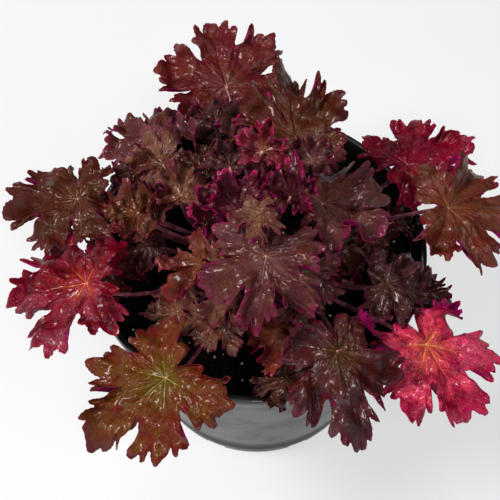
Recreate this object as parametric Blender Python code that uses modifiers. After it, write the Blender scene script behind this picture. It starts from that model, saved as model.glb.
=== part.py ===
"""A heuchera with frilled bronze, plum and crimson leaves, growing in a plain 2 litre nursery pot.

Lengths below are in millimetres, and MM turns them into metres. The origin is the centre of the pot's
underside, +Z is up, and -Y is the side that faces the viewer. Each leaf is one piece with its stalk. The
blades are set from the top of the mound down, each one moved up or down until it is clear of those already
set, and the stalks are then led from the crown to their blades round whatever is in their way.
"""

import math
import random
from collections import namedtuple

import bmesh
import bpy
import numpy as np
from mathutils import Vector
from mathutils.bvhtree import BVHTree

MM = 0.001
GAP = 0.35

# Pot: a thin-walled nursery pot with a lip, and drain holes cut through the edge of its base
POT_HEIGHT = 126.0
RIM_RADIUS = 85.0
BASE_RADIUS = 60.0
WALL = 1.4
LIP_HEIGHT = 6.0
LIP_PROUD = 1.6
POT_STEPS = 40
DRAIN_COUNT = 8
DRAIN_RADIUS = 5.5
DRAIN_HEIGHT = 5.0

# Potting mix, with a plain hole for the crown
SOIL_LEVEL = 112.0
SOIL_BUMP = 0.9
SOIL_RINGS = (22.0, 38.0, 54.0, 68.0)

# Crown: the short woody stem that every leaf grows from
CROWN_RADIUS = 17.0
CROWN_SHOULDER = 113.0
CROWN_DOME = 14.0
CROWN_FOOT = 92.0
CROWN_STEPS = 24

# Leaves
BLADE_THICK = 0.8
STALK_RADIUS = 1.15
STALK_TIP_RADIUS = 0.45
STALK_SPACING = 3.6
STALK_FOOT = 1.5
STALK_STEPS = (0.0, 0.14, 0.30, 0.48, 0.68, 0.88, 1.0)
CLEARANCE = 0.45
MOST_DROP = 14
MOST_RISE = 10
LARGE_REACH = 34.0
TRIED_SIDES = (0, 7, -7, 14, -14, 21, -21, 28, -28, 35, -35)
TRIED_RISES = (0, 7, -6, 14)

# A leaf has five lobes: (way from the tip in degrees, half width in degrees, length as a share of the reach).
# Each is three-toothed, given as (place across its half width, share of its length), between deep sinuses.
LOBES = ((-110, 29, 0.76), (-54, 27, 0.93), (0, 27, 1.0), (54, 27, 0.93), (110, 29, 0.76))
HALF_LOBE = ((0.95, 0.66), (0.82, 0.84), (0.62, 0.92), (0.46, 0.83), (0.24, 0.96))
SINUS = 0.44
NOTCH = ((149, 0.44), (163, 0.38), (173, 0.18))
PLEATS = 360 / 54
PLEAT_DEPTH = 0.12
WAVES = ((3, 0.11), (5, 0.18), (9, 0.18))
INNER_RING = 0.55

Leaf = namedtuple("Leaf", "name at heading pitch roll reach width dome frill kind seed")

# From the top of the mound down. at is where stalk meets blade, headings run counter-clockwise from +X, a
# negative pitch droops, reach is from stalk to tip, and a negative dome makes a cup.
LEAVES = (
    Leaf("young_pink", (2, -2, 209), 80, 50, 0, 15, 1.00, -0.15, 0.80, "crimson", 30),
    Leaf("magenta_fold", (14, -22, 203), 80, 62, 0, 21, 0.75, -0.18, 0.55, "magenta", 29),
    Leaf("centre", (3, -50, 199), -100, -18, 0, 34, 1.00, 0.14, 0.60, "plum", 25),
    Leaf("middle_cup", (-8, -24, 203), 128, 22, 0, 20, 1.00, -0.28, 0.65, "magenta", 28),
    Leaf("middle_olive", (2, -38, 208), -170, -20, 0, 16, 1.00, 0.10, 0.70, "olive", 35),
    Leaf("middle_frill", (-13, -4, 200), 118, 14, 0, 15, 1.00, -0.20, 0.85, "plum", 36),
    Leaf("upper_frill", (24, -2, 202), 75, 16, 0, 15, 1.00, -0.10, 0.85, "plum", 32),
    Leaf("beige_left", (-13, -48, 191), -150, -6, 0, 14, 1.00, 0.10, 0.85, "olive", 43),
    Leaf("right_ruffle", (29, -16, 189), 30, -12, 0, 40, 0.80, 0.10, 0.70, "plum", 31),
    Leaf("right_frill", (26, -26, 181), -50, -8, 0, 16, 1.00, 0.06, 0.90, "plum", 44),
    Leaf("upright_dark", (18, 22, 190), 98, 12, 0, 43, 0.75, -0.10, 0.50, "bronze", 2),
    Leaf("back_ruffle", (2, 30, 186), 95, 24, 0, 16, 1.00, -0.16, 0.90, "magenta", 46),
    Leaf("dark_magenta", (-20, -24, 193), 142, 40, 0, 16, 1.00, -0.20, 0.60, "magenta", 37),
    Leaf("copper", (-24, -43, 185), 160, -18, 0, 25, 0.95, 0.10, 0.60, "copper", 22),
    Leaf("beige_ruffle", (-35, -10, 187), 80, 8, 0, 19, 1.00, -0.12, 0.80, "olive", 20),
    Leaf("dark_back", (-26, 8, 183), 85, 4, 0, 18, 1.00, 0.05, 0.70, "bronze", 38),
    Leaf("olive_cup", (-45, 14, 180), 128, 6, 0, 21, 1.00, -0.25, 0.75, "olive", 19),
    Leaf("back_grey", (-12, 29, 178), 12, -16, 0, 19, 1.00, 0.14, 0.70, "plum", 18),
    Leaf("centre_right", (22, -42, 173), -32, -22, 0, 23, 1.00, 0.14, 0.75, "plum", 26),
    Leaf("right_under", (32, -23, 166), -18, -18, 0, 22, 1.00, 0.12, 0.75, "bronze", 39),
    Leaf("olive_under", (-10, -53, 177), -135, -22, 0, 23, 1.00, 0.14, 0.70, "olive", 27),
    Leaf("back_magenta", (4, 44, 174), 110, 40, 0, 20, 1.00, -0.10, 0.70, "magenta", 17),
    Leaf("left_cup_high", (-56, -11, 174), -172, 6, 0, 19, 1.00, -0.16, 0.75, "bronze", 49),
    Leaf("back_left_plum", (-50, 33, 172), 137, -9, 0, 31, 0.95, 0.16, 0.60, "plum", 14),
    Leaf("right_plum", (58, -47, 170), -4, -10, 0, 26, 1.00, 0.16, 0.75, "plum", 6),
    Leaf("right_magenta", (50, -30, 160), -12, 0, 0, 15, 1.00, -0.10, 0.85, "magenta", 47),
    Leaf("front_right_crimson", (75, -73, 163), -58, -14, 4, 43, 0.80, 0.12, 0.50, "crimson", 5),
    Leaf("right_bronze", (90, -4, 167), 4, -12, 6, 40, 0.96, 0.14, 0.45, "bronze", 4),
    Leaf("front_dark", (34, -83, 173), -74, -20, 0, 42, 0.78, 0.14, 0.50, "plum", 7),
    Leaf("left_crimson", (-79, -42, 162), -178, -12, 0, 44, 0.92, 0.14, 0.45, "crimson", 11),
    Leaf("left_bronze", (-86, 2, 165), -178, -10, 0, 41, 0.82, 0.14, 0.45, "bronze", 12),
    Leaf("beige_right", (19, -51, 168), -75, -18, 0, 16, 1.00, 0.12, 0.80, "olive", 51),
    Leaf("beige_front", (-16, -62, 165), -120, -14, 0, 16, 1.00, 0.10, 0.80, "olive", 52),
    Leaf("right_plum_tip", (75, -42, 156), -8, -8, 0, 19, 1.00, 0.12, 0.75, "plum", 53),
    Leaf("front_orange", (13, -61, 154), -118, -24, 0, 24, 0.90, 0.16, 0.65, "copper", 8),
    Leaf("left_copper_cup", (-52, -8, 165), 150, 2, 0, 20, 1.00, -0.20, 0.70, "copper", 21),
    Leaf("left_mid", (-63, 4, 160), 165, -6, 0, 17, 1.00, 0.10, 0.70, "plum", 54),
    Leaf("front_left_olive", (-41, -89, 160), -146, -14, 0, 45, 0.90, 0.14, 0.40, "olive", 10),
    Leaf("beige_low", (-23, -56, 159), -165, -12, 0, 17, 1.00, 0.14, 0.70, "olive", 24),
    Leaf("back_small", (-21, 52, 160), 100, -4, 0, 19, 1.00, 0.12, 0.60, "plum", 16),
    Leaf("back_left_bronze", (-60, 28, 153), 160, -18, 0, 20, 1.00, 0.14, 0.50, "bronze", 15),
    Leaf("left_dark_low", (-50, -17, 155), -165, -6, 0, 17, 1.00, 0.12, 0.70, "plum", 55),
    Leaf("back_long", (-16, 82, 152), 106, 18, 0, 43, 1.00, 0.10, 0.45, "plum", 1),
    Leaf("back_right_crimson", (75, 33, 151), 26, 2, -8, 41, 0.90, 0.12, 0.40, "crimson", 3),
    Leaf("olive_low", (-38, -48, 148), 170, -12, 0, 20, 1.00, 0.14, 0.65, "olive", 23),
    Leaf("left_small", (-75, -22, 146), -14, -6, 0, 26, 0.90, 0.10, 0.60, "bronze", 13),
    Leaf("front_low", (13, -77, 141), -112, -18, 0, 18, 1.00, 0.14, 0.50, "olive", 9),
    Leaf("low_orange", (55, -6, 140), -40, -8, 0, 12, 1.00, 0.12, 0.50, "copper", 33),
    Leaf("low_red", (68, 8, 136), 10, -10, 0, 14, 1.00, 0.12, 0.45, "crimson", 34),
    Leaf("back_left_low", (-52, 54, 142), 135, -12, 0, 22, 1.00, 0.14, 0.50, "bronze", 40),
    Leaf("back_low", (-16, 62, 138), 95, -10, 0, 19, 1.00, 0.14, 0.50, "plum", 41),
    Leaf("back_right_low", (22, 56, 142), 62, -12, 0, 21, 1.00, 0.14, 0.50, "bronze", 42),
)

# The upper side of each kind of blade: (red, green, blue, roughness)
LEAF_LOOKS = {
    "plum": (0.105, 0.035, 0.055, 0.38),
    "bronze": (0.130, 0.050, 0.030, 0.36),
    "crimson": (0.330, 0.012, 0.035, 0.30),
    "copper": (0.210, 0.060, 0.030, 0.30),
    "olive": (0.150, 0.090, 0.030, 0.34),
    "magenta": (0.220, 0.006, 0.070, 0.34),
}


def clear_scene():
    for obj in list(bpy.data.objects):
        bpy.data.objects.remove(obj, do_unlink=True)


def material(name, colour, roughness, metallic=0.0):
    made = bpy.data.materials.new(name)
    made.use_nodes = True
    shader = made.node_tree.nodes["Principled BSDF"]
    shader.inputs["Base Color"].default_value = (*colour, 1.0)
    shader.inputs["Roughness"].default_value = roughness
    shader.inputs["Metallic"].default_value = metallic
    made.diffuse_color = (*colour, 1.0)
    return made


def collection(name):
    made = bpy.data.collections.new(name)
    bpy.context.scene.collection.children.link(made)
    return made


def mesh_object(name, points, edges, faces, into):
    """A mesh object from points in millimetres."""
    mesh = bpy.data.meshes.new(name)
    mesh.from_pydata([Vector(p) * MM for p in points], edges, [tuple(map(int, f)) for f in faces])
    mesh.update()
    obj = bpy.data.objects.new(name, mesh)
    into.objects.link(obj)
    return obj


def as_mesh(obj, into):
    """A plain mesh object of what obj evaluates to, welded. It takes obj's name and place, and obj goes."""
    bpy.context.view_layer.update()
    graph = bpy.context.evaluated_depsgraph_get()
    mesh = bpy.data.meshes.new_from_object(obj.evaluated_get(graph))
    name, place = obj.name, obj.matrix_world.copy()
    bpy.data.objects.remove(obj, do_unlink=True)
    work = bmesh.new()
    work.from_mesh(mesh)
    bmesh.ops.remove_doubles(work, verts=work.verts, dist=1e-6)
    work.to_mesh(mesh)
    work.free()
    made = bpy.data.objects.new(name, mesh)
    made.matrix_world = place
    into.objects.link(made)
    return made


def finished(obj, finish, sharp_degrees):
    """Gives a piece its only material, and smooth shading up to an angle between faces."""
    obj.data.materials.clear()
    obj.data.materials.append(finish)
    obj.data.shade_smooth()
    obj.data.set_sharp_from_angle(angle=math.radians(sharp_degrees))
    return obj


def turned(name, profile, steps, into):
    """A solid turned about Z. profile is (radius, height) pairs down its outer side, from axis to axis."""
    edges = [(k, k + 1) for k in range(len(profile) - 1)]
    obj = mesh_object(name, [(r, 0.0, z) for r, z in profile], edges, [], into)
    screw = obj.modifiers.new("turn", "SCREW")
    screw.steps = steps
    screw.render_steps = steps
    screw.use_merge_vertices = True
    screw.merge_threshold = 0.00001
    return as_mesh(obj, into)


def wall_radius(z):
    """The pot's outer radius below its lip."""
    return BASE_RADIUS + (RIM_RADIUS - LIP_PROUD - BASE_RADIUS) * z / POT_HEIGHT


def drain_cutters(into):
    for k in range(DRAIN_COUNT):
        turn = 2 * math.pi * (k + 0.5) / DRAIN_COUNT
        bpy.ops.mesh.primitive_cylinder_add(
            vertices=12,
            radius=DRAIN_RADIUS * MM,
            depth=2 * DRAIN_HEIGHT * MM,
            location=(BASE_RADIUS * math.cos(turn) * MM, BASE_RADIUS * math.sin(turn) * MM, 0.0),
        )
        cutter = bpy.context.object
        cutter.name = f"drain_cutter_{k + 1}"
        cutter.hide_render = True
        cutter.display_type = "WIRE"
        for holder in list(cutter.users_collection):
            holder.objects.unlink(cutter)
        into.objects.link(cutter)


def build_pot(into, cutters, finish):
    under_lip = POT_HEIGHT - LIP_HEIGHT
    inner_rim = wall_radius(POT_HEIGHT) - WALL
    profile = [
        (0.0, WALL),
        (wall_radius(WALL) - WALL, WALL),
        (wall_radius(under_lip) - WALL, under_lip),
        (inner_rim, POT_HEIGHT - 0.6),
        (inner_rim + 0.6, POT_HEIGHT),
        (RIM_RADIUS - 0.6, POT_HEIGHT),
        (RIM_RADIUS, POT_HEIGHT - 0.8),
        (RIM_RADIUS - 0.5, under_lip),
        (wall_radius(under_lip), under_lip - 0.4),
        (BASE_RADIUS + 0.2, 1.5),
        (BASE_RADIUS - 1.5, 0.0),
        (0.0, 0.0),
    ]
    pot = turned("pot", profile, POT_STEPS, into)
    drain_cutters(cutters)
    cut = pot.modifiers.new("drain holes", "BOOLEAN")
    cut.operation = "DIFFERENCE"
    cut.operand_type = "COLLECTION"
    cut.collection = cutters
    return finished(pot, finish, 35)


def soil_bump(x, y):
    """How far the potting mix stands above its level at a point."""
    broad = math.sin(x / 9.0 + 0.7) * math.cos(y / 11.0)
    fine = math.sin((x + y) / 5.5) * math.cos((x - y) / 7.0)
    return SOIL_BUMP * (broad + 0.6 * fine)


def build_soil(into, finish):
    hole = CROWN_RADIUS + GAP
    edge = wall_radius(SOIL_LEVEL) - WALL - GAP - 0.5
    floor = WALL + GAP
    profile = [(0.0, CROWN_FOOT - GAP), (hole, CROWN_FOOT - GAP), (hole, SOIL_LEVEL)]
    profile += [(r, SOIL_LEVEL) for r in SOIL_RINGS]
    profile += [(edge, SOIL_LEVEL), (wall_radius(floor) - WALL - GAP - 0.5, floor), (0.0, floor)]
    soil = turned("soil", profile, POT_STEPS, into)
    for vertex in soil.data.vertices:
        x, y, z = vertex.co / MM
        if z > SOIL_LEVEL - 1.0 and hole + 1.0 < math.hypot(x, y) < edge - 1.0:
            vertex.co.z += soil_bump(x, y) * MM
    return finished(soil, finish, 30)


def build_crown(into, finish):
    profile = [(0.0, CROWN_SHOULDER + CROWN_DOME)]
    for k in range(1, 6):
        lean = 0.5 * math.pi * k / 5
        profile.append((CROWN_RADIUS * math.sin(lean), CROWN_SHOULDER + CROWN_DOME * math.cos(lean)))
    profile += [(CROWN_RADIUS, CROWN_FOOT + 4.0), (CROWN_RADIUS - 3.0, CROWN_FOOT), (0.0, CROWN_FOOT)]
    return finished(turned("crown", profile, CROWN_STEPS, into), finish, 50)


def is_large(leaf):
    return leaf.reach >= LARGE_REACH


def leaf_edge(full):
    """The flat leaf's edge as rows of (angle from the tip, radius as a share of the reach)."""
    points = []
    for middle, half, length in LOBES:
        across = [(-1.0, SINUS)] + [(-a, r) for a, r in HALF_LOBE] + [(0.0, 1.0)]
        across += [(a, r) for a, r in reversed(HALF_LOBE)]
        kept = across if full else across[::2]
        points += [(math.radians(middle + half * a), length * r) for a, r in kept]
    middle, half, length = LOBES[-1]
    points.append((math.radians(middle + half), length * 0.56))
    basal = [(a, r) for a, r in NOTCH] + [(360 - a, r) for a, r in reversed(NOTCH)]
    kept = basal if full else (basal[1], basal[4])
    return np.array(points + [(math.radians(a), r) for a, r in kept])


def blade_axes(leaf):
    """The directions of a blade's midrib, its left side and its upper face."""
    heading, pitch, roll = (math.radians(a) for a in (leaf.heading, leaf.pitch, leaf.roll))
    along = (math.cos(pitch) * math.cos(heading), math.cos(pitch) * math.sin(heading), math.sin(pitch))
    left = np.array([-math.sin(heading), math.cos(heading), 0.0])
    up = np.cross(along, left)
    turned_left = left * math.cos(roll) + up * math.sin(roll)
    return np.array(along), turned_left, up * math.cos(roll) - left * math.sin(roll)


def waves_of(leaf):
    """The leaf's own waves: rows of (number round it, size as a share of the reach, phase)."""
    draw = random.Random(leaf.seed)
    return [(number, size * leaf.frill, draw.uniform(0, 2 * math.pi)) for number, size in WAVES]


def blade_points(leaf, angle, radius):
    """Places on the middle of the blade: pleated along the lobes, waved towards the edge, domed or cupped."""
    along, left, up = blade_axes(leaf)
    wave = sum(size * np.sin(number * angle + phase) for number, size, phase in waves_of(leaf))
    pleat = PLEAT_DEPTH * leaf.frill * np.cos(angle * PLEATS)
    height = (wave - pleat) * radius**1.8 - leaf.dome * radius**2
    drawn_in = radius * (1.0 - 0.25 * np.abs(wave) * radius)
    ahead, aside = drawn_in * np.cos(angle), drawn_in * np.sin(angle) * leaf.width
    offset = np.outer(ahead, along) + np.outer(aside, left) + np.outer(height, up)
    return np.array(leaf.at, float) + leaf.reach * offset


def zipped(inner, outer, inner_at, outer_at):
    """Triangles between two closed loops of vertex numbers, from each one's places round the leaf."""
    faces, i, j = [], 0, 0
    while i < len(inner) or j < len(outer):
        next_i = inner_at[i + 1] if i + 1 < len(inner) else inner_at[0] + 1.0
        next_j = outer_at[j + 1] if j + 1 < len(outer) else outer_at[0] + 1.0
        if i >= len(inner) or (j < len(outer) and next_j <= next_i):
            faces.append((inner[i % len(inner)], outer[j], outer[(j + 1) % len(outer)]))
            j += 1
        else:
            faces.append((inner[i], outer[j % len(outer)], inner[(i + 1) % len(inner)]))
            i += 1
    return faces


def blade_surface(leaf):
    """The blade's middle surface: its points, its triangles, and how many of the last points are its edge."""
    edge = leaf_edge(is_large(leaf))
    n = len(edge)
    ring = list(range(0, n, 4 if is_large(leaf) else 2))
    angle = np.concatenate(([0.0], edge[ring, 0], edge[:, 0]))
    radius = np.concatenate(([0.0], edge[ring, 1] * INNER_RING, edge[:, 1]))
    inner = list(range(1, 1 + len(ring)))
    outer = list(range(1 + len(ring), 1 + len(ring) + n))
    faces = [(0, inner[k], inner[(k + 1) % len(inner)]) for k in range(len(inner))]
    faces += zipped(inner, outer, [k / n for k in ring], [k / n for k in range(n)])
    return blade_points(leaf, angle, radius), np.array(faces), n


def surface_normals(points, faces):
    a, b, c = (points[faces[:, k]] for k in range(3))
    across = np.cross(b - a, c - a)
    total = np.zeros_like(points)
    for k in range(3):
        np.add.at(total, faces[:, k], across)
    return total / np.maximum(np.linalg.norm(total, axis=1, keepdims=True), 1e-9)


def blade_tree(leaf, thick):
    """The blade's closed surface at this thickness, for finding what it meets."""
    points, faces, n = blade_surface(leaf)
    out = surface_normals(points, faces) * thick / 2
    rim = np.arange(len(points) - n, len(points))
    following = np.roll(rim, -1)
    below = len(points)
    sides = [np.stack((rim, rim + below, following), 1), np.stack((following, rim + below, following + below), 1)]
    every_face = np.concatenate((faces, faces[:, ::-1] + below, *sides))
    return tree(np.concatenate((points + out, points - out)), every_face)


def tree(points, faces):
    return BVHTree.FromPolygons([tuple(p) for p in points], [tuple(map(int, f)) for f in faces])


def tree_of(obj):
    """A piece's own surface, in millimetres."""
    bpy.context.view_layer.update()
    graph = bpy.context.evaluated_depsgraph_get()
    mesh = obj.evaluated_get(graph).to_mesh()
    return tree([v.co / MM for v in mesh.vertices], [p.vertices for p in mesh.polygons])


def dome_point(lean, turn, out=0.0):
    """A point of the crown's dome, lean down from its top and turn round it, and out millimetres off it."""
    r, h = CROWN_RADIUS + out, CROWN_DOME + out
    level = r * math.sin(lean)
    return np.array([level * math.cos(turn), level * math.sin(turn), CROWN_SHOULDER + h * math.cos(lean)])


def stalk_bases(leaves):
    """Where stalks leave the crown, as (lean, turn): towards each leaf, then pushed apart where crowded."""
    spots = []
    for leaf in leaves:
        x, y, z = leaf.at
        lean = math.atan2(math.hypot(x, y), z - CROWN_SHOULDER)
        spots.append([min(lean * 1.3, 1.35), math.atan2(y, x)])
    for _ in range(150):
        places = np.array([dome_point(*spot) for spot in spots])
        for i, spot in enumerate(spots):
            apart = places[i] - np.delete(places, i, axis=0)
            far = np.maximum(np.linalg.norm(apart, axis=1, keepdims=True), 0.1)
            push = np.sum(apart / far * np.maximum(STALK_SPACING - far, 0.0) * 0.3, axis=0)
            lean, turn = spot
            down = np.array([math.cos(lean) * math.cos(turn), math.cos(lean) * math.sin(turn), -math.sin(lean)])
            side = np.array([-math.sin(turn), math.cos(turn), 0.0])
            spot[0] = min(max(lean + push @ down / CROWN_RADIUS, 0.05), 1.35)
            spot[1] = turn + push @ side / (CROWN_RADIUS * max(math.sin(lean), 0.2))
    return spots


def stalk_path(leaf, base, side, rise):
    """Points from the crown to the blade: straight out of the crown, then one smooth curve, bowed if asked."""
    foot, start, end = dome_point(*base, GAP), dome_point(*base, GAP + STALK_FOOT), np.array(leaf.at, float)
    along, _, up = blade_axes(leaf)
    leave = start - foot
    leave = leave / np.linalg.norm(leave) + np.array([0.0, 0.0, 0.5])
    arrive = along * 0.5 + up * 0.87
    span = np.linalg.norm(end - start)
    level = np.array([start[1] - end[1], end[0] - start[0], 0.0])
    bow = level / max(np.linalg.norm(level), 0.1) * side + np.array([0.0, 0.0, rise])
    first = start + leave / np.linalg.norm(leave) * span * 0.30 + bow
    last = end - arrive / np.linalg.norm(arrive) * span * 0.25 + bow
    t = np.array(STALK_STEPS)[:, None]
    s = 1.0 - t
    curve = s**3 * start + 3 * s * s * t * first + 3 * s * t * t * last + t**3 * end
    return np.vstack((foot, curve))


def stalk_radii(count):
    radii = STALK_RADIUS * (1.15 - 0.35 * np.arange(count) / (count - 1))
    radii[-1] = STALK_TIP_RADIUS
    return radii


def stalk_tree(path, extra, sides=6):
    """The stalk's surface, grown by extra, for finding what it meets."""
    ahead = np.gradient(path, axis=0)
    across = np.cross(ahead, (0.3, 0.9, 0.1))
    across /= np.linalg.norm(across, axis=1, keepdims=True)
    over = np.cross(ahead, across)
    over /= np.linalg.norm(over, axis=1, keepdims=True)
    radii = (stalk_radii(len(path)) + extra)[:, None, None]
    turn = (2 * math.pi * np.arange(sides) / sides)[None, :, None]
    rings = path[:, None] + radii * (across[:, None] * np.cos(turn) + over[:, None] * np.sin(turn))
    faces = []
    for k in range(len(path) - 1):
        for s in range(sides):
            a, b = k * sides + s, k * sides + (s + 1) % sides
            faces += [(a, b, a + sides), (b, b + sides, a + sides)]
    return tree(rings.reshape(-1, 3), faces)


def set_blades(leaves, solids):
    """Moves each blade the least way up or down that clears what is set already. Returns leaves and trees."""
    moves = sorted(range(-MOST_DROP, MOST_RISE + 1), key=lambda d: (-d if d < 0 else 1.5 * d, d))
    settled, trees = {}, {}
    for leaf in leaves:
        x, y, z = leaf.at
        for move in moves:
            trial = leaf._replace(at=(x, y, z + move))
            grown = blade_tree(trial, BLADE_THICK + 2 * CLEARANCE)
            if not any(grown.overlap(other) for other in [*solids, *trees.values()]):
                break
        else:
            raise RuntimeError(f"no clear place for the blade of {leaf.name}")
        settled[leaf.name] = trial
        trees[leaf.name] = blade_tree(trial, BLADE_THICK)
    return settled, trees


def lead_stalks(settled, blades, solids):
    """A clear path for each stalk, from the outermost leaf inwards."""
    bases = dict(zip(settled, stalk_bases(settled.values())))
    bows = sorted(
        ((side, rise) for side in TRIED_SIDES for rise in TRIED_RISES),
        key=lambda bow: (abs(bow[0]) + 1.2 * abs(bow[1]), bow[0] < 0),
    )
    paths, stalks = {}, []
    for leaf in sorted(settled.values(), key=lambda each: -math.hypot(*each.at[:2])):
        others = [other for name, other in blades.items() if name != leaf.name]
        for side, rise in bows:
            path = stalk_path(leaf, bases[leaf.name], side, rise)
            grown = stalk_tree(path, CLEARANCE)
            if not any(grown.overlap(other) for other in [*solids, *others, *stalks]):
                break
        else:
            raise RuntimeError(f"no clear way for the stalk of {leaf.name}")
        paths[leaf.name] = path
        stalks.append(stalk_tree(path, 0.0))
    return paths


def build_stalk(path, into):
    curve = bpy.data.curves.new("stalk", "CURVE")
    curve.dimensions = "3D"
    curve.bevel_depth = MM
    curve.bevel_resolution = 1
    curve.use_fill_caps = True
    line = curve.splines.new("POLY")
    line.points.add(len(path) - 1)
    for point, place, radius in zip(line.points, path, stalk_radii(len(path))):
        point.co = (*(place * MM), 1.0)
        point.radius = radius
    obj = bpy.data.objects.new("stalk", curve)
    into.objects.link(obj)
    return as_mesh(obj, into)


def build_leaf(leaf, path, into, finish):
    """A blade with its edge cut and waved, joined to its stalk."""
    points, faces, _ = blade_surface(leaf)
    blade = mesh_object("leaf_" + leaf.name, points, [], faces, into)
    shell = blade.modifiers.new("thickness", "SOLIDIFY")
    shell.thickness = BLADE_THICK * MM
    shell.offset = 0.0
    stalk = build_stalk(path, into)
    join = blade.modifiers.new("stalk", "BOOLEAN")
    join.operation = "UNION"
    join.object = stalk
    made = as_mesh(blade, into)
    bpy.data.objects.remove(stalk, do_unlink=True)
    return finished(made, finish, 60)


def main():
    clear_scene()
    plant = collection("heuchera")
    cutters = collection("cutters")
    pot = build_pot(plant, cutters, material("pot_plastic", (0.020, 0.020, 0.022), 0.42))
    soil = build_soil(plant, material("potting_mix", (0.014, 0.010, 0.008), 0.95))
    crown = build_crown(plant, material("crown_bark", (0.070, 0.030, 0.022), 0.80))
    looks = {kind: material("leaf_" + kind, look[:3], look[3]) for kind, look in LEAF_LOOKS.items()}
    firm = [tree_of(pot), tree_of(soil)]
    settled, blades = set_blades(LEAVES, [*firm, tree_of(crown)])
    paths = lead_stalks(settled, blades, firm)
    for name, leaf in settled.items():
        build_leaf(leaf, paths[name], plant, looks[leaf.kind])


main()
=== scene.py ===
"""The looks of a potted heuchera: every leaf, stalk and crumb of soil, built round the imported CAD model.

Lengths below are in millimetres, and MM turns them into metres. The table of leaves and the shape of a blade
are those of the CAD model. How far each blade was moved up or down there, and how each stalk was bowed, is
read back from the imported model, so every leaf here follows its own solid.
"""

import random
from collections import namedtuple
from math import atan2, cos, hypot, pi, radians, sin, sqrt

import bmesh
import bpy
import numpy as np
from mathutils import Matrix, Vector, noise
from mathutils.bvhtree import BVHTree


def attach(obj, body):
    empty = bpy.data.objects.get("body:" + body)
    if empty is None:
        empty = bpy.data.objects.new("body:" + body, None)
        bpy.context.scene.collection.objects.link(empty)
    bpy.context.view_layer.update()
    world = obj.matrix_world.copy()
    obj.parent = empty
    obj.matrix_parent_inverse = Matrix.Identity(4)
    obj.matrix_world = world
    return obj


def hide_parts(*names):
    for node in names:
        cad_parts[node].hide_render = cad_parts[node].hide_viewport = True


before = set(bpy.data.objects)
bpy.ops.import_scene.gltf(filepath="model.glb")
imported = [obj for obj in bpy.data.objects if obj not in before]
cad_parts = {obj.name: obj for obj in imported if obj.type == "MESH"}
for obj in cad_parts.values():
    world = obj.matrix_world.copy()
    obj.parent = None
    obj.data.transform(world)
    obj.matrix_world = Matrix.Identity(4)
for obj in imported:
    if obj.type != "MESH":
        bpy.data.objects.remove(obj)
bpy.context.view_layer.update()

MM = 0.001
GAP = 0.35

# Camera: the photograph looks along +Y and down
CAMERA_AIM = (-3.8, -2.4, 126.0)
CAMERA_DISTANCE = 600.0
CAMERA_ELEVATION = 58.6
CAMERA_LENS = 86.1
CAMERA_SENSOR = 36.0
CAMERA_CLIP = (10.0, 50000.0)

# Stage and light. Powers are in watts, and every light is aimed at LIGHT_AIM.
FLOOR_RADIUS = 5000.0
RIM_CURVE = 1200.0
WALL_RISE = 600.0
FLOOR_CURVE_STEPS = 12
FLOOR_GLOW = 0.47
Light = namedtuple("Light", "name place size power colour")
LIGHT_AIM = (0.0, 0.0, 120.0)
LIGHTS = (
    Light("window", (-900, -200, 1300), (500, 400), 25.0, (1.0, 0.98, 0.96)),
    Light("fill", (1000, -800, 1200), (1200, 800), 11.0, (0.98, 0.99, 1.0)),
    Light("overhead", (200, -900, 1700), (300, 300), 9.0, (1.0, 1.0, 1.0)),
    Light("glint", (-500, 800, 1500), (260, 200), 6.0, (1.0, 1.0, 1.0)),
)
WORLD_COLOUR = (0.90, 0.95, 1.0)
WORLD_STRENGTH = 0.08

# Pot
POT_HEIGHT = 126.0
RIM_RADIUS = 85.0
BASE_RADIUS = 60.0
WALL = 1.4
LIP_HEIGHT = 6.0
LIP_PROUD = 1.6
POT_STEPS = 192
POT_SHARP = 38.0
DRAIN_COUNT = 8
DRAIN_RADIUS = 5.5
DRAIN_DEPTH = 10.0

# Potting mix
SOIL_LEVEL = 112.0
SOIL_STEPS = 220
SOIL_RINGS = 62
CRUMB_COUNT = 900
PERLITE_COUNT = 70

# Crown
CROWN_RADIUS = 17.0
CROWN_SHOULDER = 113.0
CROWN_DOME = 14.0
CROWN_FOOT = 92.0
CROWN_STEPS = 96
CROWN_RINGS = 26

# Stalks
STALK_RADIUS = 1.15
STALK_TIP_RADIUS = 0.45
STALK_SPACING = 3.6
STALK_FOOT = 1.5
STALK_ROOT = 1.5
STALK_FLARE = (1.5, 1.25)
STALK_SIDES = 10
STALK_STEPS = 22
LEAST_LEAN = 0.05
MOST_LEAN = 1.35
TRIED_POINTS = 8
TRIED_SIDES = (0, 7, -7, 14, -14, 21, -21, 28, -28, 35, -35)
TRIED_RISES = (0, 7, -6, 14)
MOST_DROP = 14
MOST_RISE = 10

# The flat leaf: lobes as (degrees from the tip, half width in degrees, length as a share of the reach), and
# the teeth on half a lobe as (place across its half width, share of its length)
LOBES = ((-110, 29, 0.76), (-54, 27, 0.93), (0, 27, 1.0), (54, 27, 0.93), (110, 29, 0.76))
HALF_LOBE = ((0.95, 0.66), (0.82, 0.84), (0.62, 0.92), (0.46, 0.83), (0.24, 0.96))
SINUS = 0.44
LAST_SINUS = 0.56
NOTCH = ((149, 0.44), (163, 0.38), (173, 0.18))
PLEATS = 360 / 54
PLEAT_DEPTH = 0.12
PLEAT_GROWTH = 1.8
WAVES = ((3, 0.11), (5, 0.18), (9, 0.18))

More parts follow.
